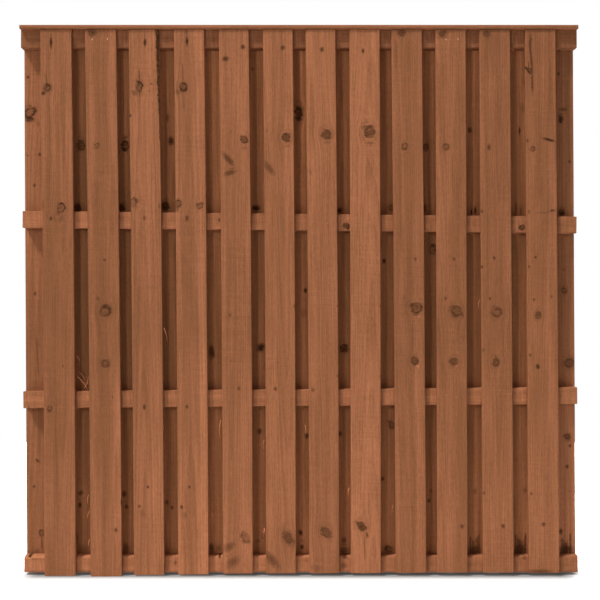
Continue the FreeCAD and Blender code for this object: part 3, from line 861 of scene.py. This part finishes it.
def worn_tube(timber, seed, face, edge, rows):
    """Gives the points of the loops round a timber, in its own lengths, and how much of each is bark.

    An arris is drawn in by a share of its ease plus chips and tears, which are smooth steps of sums of
    sine waves. A waney corner is drawn in to its log. Then each section moves across by a slow sway and by
    the crook times 4 s (1 - s), with s the share of the length, and both ends are a little smaller.
    """
    loop_across, loop_through, corner = section_loop(timber, face, edge)
    along = np.tile(rows[:, None], (1, len(corner)))
    across = np.tile(loop_across, (len(rows), 1))
    through = np.tile(loop_through, (len(rows), 1))
    torn = sum(
        depth * smooth(*span, Waver(seed + more, waves)(across, through, along))
        for more, waves, span, depth in WEAR
    )
    depth = EASED_SHARE * timber.ease + torn * (CRISP if timber.name.startswith(CRISP_PIECES) else 1)
    across = across - np.sign(across) * depth * corner
    through = through - np.sign(through) * depth * corner
    across, through, bark = cut_wane(timber, across, through, along)
    sway = Waver(seed + SWAY_SEED, SWAY_WAVES)(0 * rows, 0 * rows, rows)
    crook = CROOKS[int(timber.name[-2:]) - 1] * MM if timber.name.startswith("front") else 0
    share = rows / timber.length
    across = across + (SWAY_DEPTH * sway + crook * 4 * share * (1 - share))[:, None]
    for end in (0, -1):
        across[end] *= 1 - END_EASE / timber.width
        through[end] *= 1 - END_EASE / timber.thick
    return np.stack([across, through, along], -1), bark


def wood_fields(timber, seed, local):
    """Gives what the wood's material reads at each point: its marks, its place in the log and its tone."""
    name = timber.name
    dice = np.random.default_rng(seed)
    across, through, along = local.T
    knots = [knot(*row) for row in KNOTS.get(name, ())]
    if name.startswith("back") and name not in OPEN_BOARDS:
        knots += hidden_marks(timber, dice, HIDDEN_KNOTS)
    spots = [spot(*row) for row in SPOTS_AND_HIGHLIGHTS.get(name, ())]
    knot_field = nearest_mark(timber, knots, across, along)
    bend = grain_bend(timber, knots, across, along)
    heart = dice.uniform(-0.6, 0.6) * timber.width, dice.uniform(*HEART_DEPTHS_MM) * MM
    slope = dice.normal(0, GRAIN_SLOPE, 2)
    aside = across - bend - heart[0] - slope[0] * along
    depth = through + heart[1] - slope[1] * along
    ahead = along + GRAIN_APART * dice.integers(1, 40)
    return {
        "grain": np.stack([aside, depth, ahead], -1),
        "knot": knot_field[:, :3],
        "rim": knot_field[:, 3],
        "spot": nearest_mark(timber, spots, across, along)[:, :3],
        "crack": nearest_crack(timber, CRACKS.get(name, ()), across, along),
        "tone": tone_along(name, along / timber.length) + board_streaks(timber, seed, across, along, bend),
    }


def build_timber(name, seed, material, slot):
    """Builds a sawn piece over its CAD node, with the fields that its material reads.

    A knot is sunk into the face by its strength times exp(-r to the fourth), with r the distance from its
    middle in radii.
    """
    timber = Timber(name)
    face, edge, rows = timber_steps(timber)
    tube, bark = worn_tube(timber, seed, face, edge, rows)
    local, quads = close_ends(tube, len(face), edge / timber.thick)
    fields = wood_fields(timber, seed, local)
    fields["bark"] = np.zeros(len(local))
    fields["bark"][: bark.size] = bark.ravel()
    fields["end_grain"] = np.ones(len(local))
    fields["end_grain"][bark.shape[1] : bark[:-1].size] = 0
    knot_x, knot_y, strength = fields["knot"].T
    sunk = np.exp(-np.clip(np.hypot(knot_x, knot_y), 0, 3) ** 4) * strength * KNOT_SINK
    on_face = np.abs(local[:, 1]) > timber.thick / 2 - FACE_SKIN
    local[:, 1] -= np.sign(local[:, 1]) * sunk * on_face
    if np.linalg.det(np.stack([timber.across, timber.through, timber.along])) < 0:
        quads = [faces[:, ::-1] for faces in quads]
    piece = make_mesh(f"{name}_sawn", timber.place(*local.T), quads, fields, material)
    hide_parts(name)


# Wood colours, as reflectances

WOOD_LIGHT = (0.455, 0.172, 0.082, 1)
WOOD_OLIVE = (0.352, 0.136, 0.059, 1)
WOOD_DARK = (0.205, 0.077, 0.031, 1)
KNOT_BROWN = (0.15, 0.058, 0.023, 1)
KNOT_DARK = (0.05, 0.018, 0.006, 1)
BARK = (0.15, 0.062, 0.024, 1)
END_GRAIN = (0.17, 0.068, 0.03, 1)
# A greener tint for the back boards in the gaps: painted shade
GAP_SHADE_TINT = (1.0, 1.065, 1.03, 1)

# Noises that are drawn out along the grain: by what share, and their scale, detail and roughness

GRAIN_NOISES = {
    "wander": (0.1, 20, 2, 0.5),
    "fibre": (0.02, 330, 2, 0.6),
    "thread": (0.03, 150, 2, 0.6),
    "ribbon": (0.045, 48, 2, 0.5),
    "cloud": (0.35, 12, 3, 0.5),
    "speck": (0.3, 260, 2, 0.6),
}
RINGS_PER_METRE = 210
RING_WANDER = 0.009

# Spans over which a part of the wood's drawing rises or falls. A ring's are shares of it, and those of
# knots, spots and cracks are in their own radii, half widths and half lengths.

LATE_RISE = (0.3, 0.92)
LATE_FALL = (0.94, 1.0)
KNOT_FALL = (0.72, 1.15)
RIM_RISE = (0.4, 0.78)
RIM_FALL = (0.82, 1.2)
CORE_FALL = (0.1, 0.5)
HALO_FALL = (0.9, 2.3)
SPOT_FALL = (0.3, 1.45)
CRACK_FALL = (0.3, 1.6)
CRACK_END_FALL = (0.7, 1.05)


def marked_wood(tree, wood, grain, mottle):
    """Lays knots, spots and cracks over the wood, and gives its colour, its knots and its spots."""
    aside, depth, ahead = tree.split(grain)
    knot_x, knot_y, knot_strength = tree.split(tree.attribute("knot", "Vector"))
    spot_x, spot_y, spot_strength = tree.split(tree.attribute("spot", "Vector"))
    beside, along_crack, crack_strength = tree.split(tree.attribute("crack", "Vector"))
    wobble = tree.noise(grain, 130, 2, 0.6)
    swerve = tree.noise(grain, 55, 1)
    stray = tree.noise(tree.vector(ahead, aside, depth), 60, 2)
    bent_x = knot_x + swerve * 1.1 + wobble * 0.8
    bent_y = knot_y + stray * 1.2 - wobble * 0.8
    out = (bent_x * bent_x + bent_y * bent_y) ** 0.5 + mottle * 0.5
    sides = tree.noise(tree.vector(knot_x, knot_y, ahead), 0.8, 1)
    inside = out.fall(*KNOT_FALL) * knot_strength
    rings = (out * 15 + wobble * 4).math("SINE") * 0.16 + 0.84
    bulge = out + sides * 0.6
    rim = bulge.between(*RIM_RISE) * bulge.fall(*RIM_FALL) * (0.45 + sides.between(-0.15, 0.15) * 0.8)
    rim = rim * tree.attribute("rim", "Fac")
    core = out.fall(*CORE_FALL) * sides.between(0.05, -0.16) * knot_strength
    halo = out.fall(*HALO_FALL) * knot_strength
    knot_colour = tree.mix((knot_strength - 1).math("MAXIMUM", 0), KNOT_BROWN, KNOT_DARK)
    reach = (spot_x * spot_x + spot_y * spot_y) ** 0.5 + wobble * 0.8
    spots = reach.fall(*SPOT_FALL) * spot_strength
    crack = (beside.math("ABSOLUTE") + wobble * 1.2).fall(*CRACK_FALL)
    crack = crack * along_crack.math("ABSOLUTE").fall(*CRACK_END_FALL) * crack_strength * (0.9 + mottle)
    wood = tree.mix(halo * (0.12 + wobble.between(-0.08, 0.28) * 0.5), wood, KNOT_BROWN)
    wood = tree.mix(inside * rings * (0.8 + mottle * 1.5), wood, knot_colour)
    for cover in (rim.math("MAXIMUM", core) * (0.8 + mottle), spots, crack):
        wood = tree.mix(cover, wood, KNOT_DARK)
    # Spots of negative strength brighten the wood: painted highlights
    return tree.brighten(wood, 1 - spots.math("MINIMUM", 0) * 0.5), inside, spots


def wood_material(name, redness=0, warming=1.4, fibrous=1, sawn=0.45, streaked=0.4, tint=WHITE):
    """Sawn softwood under a red-brown treatment: rings, fibres, saw marks, knots and their rims."""
    material = bpy.data.materials.new(name)
    tree = Tree(material)
    grain = tree.attribute("grain", "Vector")
    tone = tree.attribute("tone", "Fac")
    aside, depth, ahead = tree.split(grain)
    wander, fibre, thread, ribbon, cloud, speck = (
        tree.noise(tree.vector(aside, depth, ahead * share), *settings)
        for share, *settings in GRAIN_NOISES.values()
    )
    radius = (aside * aside + depth * depth) ** 0.5
    ring = ((radius + wander * RING_WANDER) * RINGS_PER_METRE).math("FRACT")
    late = ring.between(*LATE_RISE) * ring.fall(*LATE_FALL)
    saw_patch = tree.noise(grain, 7, 1).between(-0.15, 0.2) if sawn < 1 else 1
    saw = tree.noise(tree.vector(aside * 0.06, depth, ahead + aside * 0.05), 210, 1) * saw_patch
    fine = (fibre * 0.7 + thread * 0.7) * fibrous
    shade = 0.58 + fine + ribbon * streaked + cloud * 0.2 + speck * 0.8 + saw * sawn - late * 0.2 * fibrous
    hue = (0.55 + redness + ribbon * 0.85 + cloud * 0.65 + tone * warming).between(0.0, 1.0)
    wood = tree.mix(shade, WOOD_DARK, tree.mix(hue, WOOD_OLIVE, WOOD_LIGHT))
    wood = tree.brighten(wood, 1 + tone)
    # The tint, on the copy of the wood for the gaps, paints the colour of their shade
    if tint != WHITE:
        wood = tree.mix(1.0, wood, tint, "MULTIPLY")
    mottle = tree.noise(grain, 230, 3, 0.7)
    wood, inside, spots = marked_wood(tree, wood, grain, mottle)
    flakes = tree.noise(grain, 110, 3, 0.7)
    bark = tree.mix(flakes.between(-0.16, 0.12), BARK, KNOT_DARK)
    wood = tree.mix(tree.attribute("bark", "Fac"), wood, bark)
    colour = tree.mix(tree.attribute("end_grain", "Fac") * (0.75 + late * 0.25), wood, END_GRAIN)
    height = fibre * 0.4 + saw * 0.5 + thread * 0.3 + late * 0.12 + inside * mottle * 0.8
    height = height - spots * 0.4 + flakes * 0.1
    bump = tree.add("ShaderNodeBump", None, {"Height": height, "Strength": 0.6, "Distance": 0.0014})
    roughness = 0.85 - late * 0.1
    tree.surface({"Base Color": colour, "Roughness": roughness, "Specular IOR Level": 0.07, "Normal": bump})
    return material


ZINC = (0.5, 0.33, 0.23, 1)
BROWNED_ZINC = (0.22, 0.09, 0.046, 1)


def metal_material():
    """Nail heads: dull zinc, browned by the treatment on most of them."""
    material = bpy.data.materials.new("nail_heads")
    tree = Tree(material)
    browned = tree.attribute("browned", "Fac")
    spread = tree.noise(tree.add("ShaderNodeTexCoord", None, (), "Object"), 900, 2)
    colour = tree.mix(browned + spread * 0.3, ZINC, BROWNED_ZINC)
    roughness = 0.45 + browned * 0.3
    tree.surface({"Base Color": colour, "Metallic": 0.2, "Roughness": roughness, "Specular IOR Level": 0.2})
    return material


# Nail heads that the photograph shows, by rail and front board, in its pixels. The rest are in pairs too.

SEEN_NAILS = {
    ("top_rail", 2): ((92, 39.5), (107.5, 39)),
    ("top_rail", 3): ((137.3, 36.5), (150, 36)),
    ("top_rail", 10): ((446, 39.6), (458, 39)),
    ("upper_rail", 1): ((50.5, 222.5), (62.9, 223.3)),
    ("upper_rail", 4): ((185, 222.5), (197.2, 221.5)),
    ("upper_rail", 6): ((272.8, 224.5), (284.6, 221.5)),
    ("upper_rail", 7): ((314, 222), (327.5, 223)),
    ("upper_rail", 8): ((359.2, 223.2), (372, 223.6)),
    ("upper_rail", 10): ((445.2, 223), (458, 222)),
    ("upper_rail", 12): ((534.8, 222), (549.5, 223.2)),
    ("bottom_rail", 2): ((103.4, 568), (116.2, 569)),
    ("bottom_rail", 3): ((145, 567), (158.7, 565.6)),
    ("bottom_rail", 8): ((364, 565), (376.5, 565)),
    ("bottom_rail", 10): ((450, 564.5), (462, 565.5)),
    ("bottom_rail", 12): ((541, 567), (554.5, 563.5)),
}
BRIGHT_NAILS = (("top_rail", 2), ("top_rail", 10))
RAILS = ("bottom_rail", "lower_rail", "upper_rail", "top_rail")
NAIL_ASIDE = 20 * MM
NAIL_DRIFT = 2.5 * MM
NAIL_RISE_DRIFT = 5 * MM
CAPPING_NAILS = 8
CAPPING_NAIL_SPAN = (0.03, 0.97)
CAPPING_NAIL_DRIFT = 3 * MM
HEAD_RADIUS = 2.3 * MM
HEAD_RISE = 0.6 * MM
HEAD_SIDES = 12

# A head's outline from its neck to its crown: shares of its radius, and rises over the wood

HEAD_PROFILE = ((1.0, -1.2 * MM), (1.0, 0.35 * HEAD_RISE), (0.82, 0.85 * HEAD_RISE), (0.4, HEAD_RISE))


def nail_pairs(timber, rail, seen, dice, facing):
    """Gives the middles of the two nail heads by which a board hangs on a rail, on its outer face."""
    if seen:
        places = [timber.from_photo(x, y)[:2] for x, y in seen]
    else:
        middle = timber.start[0] + (rail.start[2] - timber.start[2]) * timber.along[0]
        fall = (middle - rail.start[0]) * rail.along[2]
        height = (rail.start[2] + fall - timber.start[2]) / timber.along[2]
        places = [
            (side * NAIL_ASIDE + dice.normal(0, NAIL_DRIFT), height + dice.normal(0, NAIL_RISE_DRIFT))
            for side in (-1, 1)
        ]
    return [timber.place(across, facing * timber.thick / 2, along) for across, along in places]


def lathe_heads(middles, facing):
    """Makes a domed nail head at each middle, which faces one way: rings of points, sides and caps."""
    facing = np.array(facing, float)
    side = np.cross(facing, (0.3, 0.4, 0.87))
    side /= np.linalg.norm(side)
    other = np.cross(facing, side)
    angles = np.arange(HEAD_SIDES) * 2 * math.pi / HEAD_SIDES
    circle = np.cos(angles)[:, None] * side + np.sin(angles)[:, None] * other
    rings = np.stack([circle * HEAD_RADIUS * wide + facing * rise for wide, rise in HEAD_PROFILE])
    count = len(HEAD_PROFILE) * HEAD_SIDES
    points = (np.array(middles)[:, None, None] + rings[None]).reshape(-1, 3)
    quads = tube_faces(len(HEAD_PROFILE), HEAD_SIDES)
    first = np.arange(HEAD_SIDES)
    caps = np.stack([first[::-1], first + count - HEAD_SIDES])
    shift = (np.arange(len(middles)) * count)[:, None, None]
    return points, (quads[None] + shift).reshape(-1, 4), (caps[None] + shift).reshape(-1, HEAD_SIDES)


def make_nails():
    """Makes all the nail heads as one mesh: pairs on each board at each rail, and a row on the capping."""
    dice = np.random.default_rng(41)
    rails = {name: Timber(name) for name in RAILS}
    fronts, backs, browned = [], [], []
    for number in range(1, len(FRONT_TONES) + 1):
        timber = Timber(f"front_board_{number:02d}")
        for name in RAILS:
            fronts += nail_pairs(timber, rails[name], SEEN_NAILS.get((name, number)), dice, -1)
            browned += [0.0 if (name, number) in BRIGHT_NAILS else dice.uniform(0.75, 1)] * 2
    for number in range(1, len(BACK_TONES) + 1):
        timber = Timber(f"back_board_{number:02d}")
        for name in RAILS:
            backs += nail_pairs(timber, rails[name], None, dice, 1)
            browned += [dice.uniform(0.6, 1)] * 2
    capping = Timber("capping")
    tops = [
        capping.place(dice.normal(0, CAPPING_NAIL_DRIFT), capping.thick / 2, share * capping.length)
        for share in np.linspace(*CAPPING_NAIL_SPAN, CAPPING_NAILS)
    ]
    browned += list(dice.uniform(0.5, 1, len(tops)))
    points, quads, caps = [], [], []
    first = 0
    for middles, facing in ((fronts, (0, -1, 0)), (backs, (0, 1, 0)), (tops, (0, 0, 1))):
        heads, sides, ends = lathe_heads(middles, facing)
        points.append(heads)
        quads.append(sides + first)
        caps.append(ends + first)
        first += len(heads)
    fields = {"browned": np.repeat(browned, len(HEAD_PROFILE) * HEAD_SIDES)}
    faces = [np.concatenate(quads), np.concatenate(caps)]
    make_mesh("nail_heads", np.concatenate(points), faces, fields, metal_material())


# Torn fibres in the gaps: the photograph's pixels of both ends, how far each bows aside, and the depth
# behind the front boards' faces

FIBRES = (
    (77.5, 376.5, 88, 391, 0.8, 12), (82, 382, 89.5, 383.5, -1.2, 16), (84, 388, 88, 377, 1.0, 20),
    (79, 372, 84, 381, 1.4, 25), (77, 356, 79.5, 361, 0.5, 12), (164, 328, 167.3, 341, 0.4, 6),
    (88.7, 495, 88.2, 505, -0.8, 12), (89.6, 511, 88.0, 519, -0.8, 12), (89.5, 540, 89, 546, -0.5, 12),
    (211, 513, 212.5, 519, 0.6, 20), (221, 420, 220, 439, -0.8, 12), (264.2, 440, 263.6, 450, -0.5, 12),
    (265, 529, 264, 538, -0.9, 12), (304.8, 425, 305.6, 434, 0.4, 14), (393.6, 505, 392.6, 512, -0.6, 12),
    (264, 528, 261.5, 538, 1.2, 18), (349.3, 488, 348.6, 497, -0.6, 12), (479.6, 300, 479.0, 309, -0.6, 12),
)
FRONT_FACES = -34 * MM
FIBRE_RADIUS = 1.15 * MM
FIBRE_TAPER = 0.75
FIBRE_BOW = 1.5
FIBRE_SWING = 2 * MM
FIBRE_SQUARE = ((1, 0, 0), (0, 1, 0.3), (-1, 0, 0), (0, -1, -0.3))
FIBRE_STEPS = 9
FIBRE_GRAIN = 3
# The fibres' tone is partly their pale torn wood, partly painted light lifting them in the gaps' shade
FIBRE_TONE_AND_LIGHT = 1.3


def make_fibres(material):
    """Makes the torn fibres as one mesh of tapered, bowed, four-sided threads.

    A thread's middle line is the straight line between its ends plus its bow times 4 t (1 - t) aside. It
    swings in depth as the sine of 3 t, and thins evenly to its far end.
    """
    steps = np.linspace(0, 1, FIBRE_STEPS)
    points, quads = [], []
    for number, (x0, y0, x1, y1, bow, behind) in enumerate(FIBRES):
        depth = FRONT_FACES + behind * MM
        swell = 4 * steps * (1 - steps)
        x, z, _ = sighted(x0 + (x1 - x0) * steps + bow * swell * FIBRE_BOW, y0 + (y1 - y0) * steps, depth)
        middle = np.stack([x, depth + FIBRE_SWING * np.sin(steps * 3 + number), z], -1)
        radius = FIBRE_RADIUS * (1 - FIBRE_TAPER * steps)
        ring = middle[:, None] + radius[:, None, None] * np.array(FIBRE_SQUARE)[None]
        first = sum(len(part) for part in points)
        points.append(ring.reshape(-1, 3))
        quads.append(tube_faces(len(steps), 4) + first)
        corners = np.arange(4)
        quads.append(np.stack([first + corners[::-1], first + 4 * (len(steps) - 1) + corners]))
    points = np.concatenate(points)
    fields = {key: np.zeros((len(points), 3)) for key in ("knot", "spot", "crack")}
    fields |= {key: np.zeros(len(points)) for key in ("rim", "bark", "end_grain")}
    fields |= {"grain": points * FIBRE_GRAIN, "tone": np.full(len(points), FIBRE_TONE_AND_LIGHT)}
    make_mesh("torn_fibres", points, [np.concatenate(quads)], fields, material)


def make_camera():
    data = bpy.data.cameras.new("camera")
    data.sensor_width = SENSOR_MM
    data.lens = FOCAL_PIXELS / IMAGE_SIDE * SENSOR_MM
    camera = add_object("camera", data)
    camera.location = (CAMERA_X, CAMERA_Y, CAMERA_Z)
    camera.rotation_euler = (math.pi / 2, 0, 0)
    bpy.context.scene.camera = camera


def make_sun(name, travel, strength, spread):
    """Makes a sun whose light travels along a direction, with its disc's spread in degrees."""
    data = bpy.data.lights.new(name, "SUN")
    data.energy = strength
    data.angle = math.radians(spread)
    sun = add_object(name, data)
    sun.rotation_euler = Vector(travel).to_track_quat("-Z", "Y").to_euler()


def make_lamp(name, place, aim, watts, size):
    """Makes a round lamp, which the camera doesn't see, that faces a point."""
    data = bpy.data.lights.new(name, "AREA")
    data.shape = "DISK"
    data.size = size
    data.energy = watts
    lamp = add_object(name, data)
    lamp.location = place
    lamp.rotation_euler = (Vector(aim) - Vector(place)).to_track_quat("-Z", "Y").to_euler()
    lamp.visible_camera = False


def seen_directly(tree):
    """Gives 1 for what the camera sees straight, in a mirror or through glass, and 0 for other light."""
    names = ("Is Camera Ray", "Is Glossy Ray", "Is Transmission Ray")
    rays = [tree.add("ShaderNodeLightPath", None, (), name) for name in names]
    return rays[0].math("MAXIMUM", rays[1]).math("MAXIMUM", rays[2])


def make_world():
    world = bpy.data.worlds.new("studio")
    bpy.context.scene.world = world
    tree = Tree(world)
    level = SKY_LEVEL + seen_directly(tree) * (1 - SKY_LEVEL)
    sky = tree.add("ShaderNodeBackground", None, [WHITE, level])
    tree.add("ShaderNodeOutputWorld", None, [sky])


def make_floor():
    """Makes the pale floor under the lowest foot.

    Seen by the camera it is white but for a painted shadow, a soft dark line along the panel. The line
    pales with the distance from the panel's middle plane and towards both ends, and is lifted by a painted
    glow where the feet shut the light out.
    """
    lowest = CAD_BOX[0][2]
    half = FLOOR_SIZE / 2
    middle = (CAD_BOX[0][0] + CAD_BOX[1][0]) / 2
    corners = [(middle - half, -half), (middle + half, -half), (middle + half, half), (middle - half, half)]
    mesh = bpy.data.meshes.new("floor")
    mesh.from_pydata([(x, y, lowest) for x, y in corners], [], [(0, 1, 2, 3)])
    material = bpy.data.materials.new("floor")
    tree = Tree(material)
    openness = tree.add(
        "ShaderNodeAmbientOcclusion", {"samples": OPEN_SAMPLES}, {"Distance": OPEN_REACH}, "AO"
    )
    place = tree.split(tree.add("ShaderNodeTexCoord", None, (), "Object"))
    beside = (place[0] - middle).math("ABSOLUTE")
    ahead = place[1].math("ABSOLUTE")
    # Painted shadow: the floor's seen colour is darkened near the panel by distance, not by light
    line = CONTACT_SHADOW_LEVEL + ahead.between(*CONTACT_SHADOW_SPAN) * CONTACT_SHADOW_RISE
    line = line + (END_LEVEL - line) * beside.between(*END_SPAN) ** END_POWER
    clear = ahead.between(*CLEAR_SPAN).math("MAXIMUM", beside.between(*END_CLEAR_SPAN))
    seen = tree.brighten(FLOOR_SEEN_COLOUR, line + clear * (1 - line))
    # Painted light: a camera-only glow that lifts the shut-in floor under the feet
    glow = (GLOW_LEVEL + ahead.between(*GLOW_SPAN) * GLOW_RISE) * openness.fall(*OPEN_SPAN)
    direct = seen_directly(tree)
    finish = {
        "Base Color": tree.mix(direct, FLOOR_COLOUR, seen),
        "Roughness": 1.0,
        "Specular IOR Level": 0.0,
        "Emission Color": tree.brighten(GLOW_COLOUR, direct * glow),
        "Emission Strength": 1.0,
    }
    tree.surface(finish)
    mesh.materials.append(material)
    floor = add_object("floor", mesh)


def slot_of(name):
    """Gives the material slot that a piece's name belongs to."""
    slots = {"front": "front_boards", "back": "back_boards", "capping": "capping"}
    return slots.get(name.split("_")[0], "rails")


def make_timbers(wood, rail_wood, gap_shade_wood):
    """Makes every sawn piece. The back boards that show only in the gaps get a copy of the wood whose
    greener, less red colour is painted shade.
    """
    for seed, name in enumerate(sorted(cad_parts), start=1):
        in_gap = name.startswith("back") and name not in TONES
        grown = rail_wood if "rail" in name else wood
        build_timber(name, seed, gap_shade_wood if in_gap else grown, slot_of(name))


def main():
    bpy.context.scene.view_settings.view_transform = "Standard"
    make_camera()
    make_sun("steep_sun", **STEEP_SUN)
    make_sun("back_sun", **BACK_SUN)
    make_lamp("near_lamp", **NEAR_LAMP)
    make_world()
    make_floor()
    wood = wood_material("sawn_wood")
    rail_wood = wood_material("sawn_rail", warming=0.3, fibrous=0.45, sawn=1.0)
    gap_shade_wood = wood_material("sawn_wood_in_gaps", -0.4, 0.4, streaked=1.0, tint=GAP_SHADE_TINT)
    make_timbers(wood, rail_wood, gap_shade_wood)
    make_fibres(wood)
    make_nails()


main()
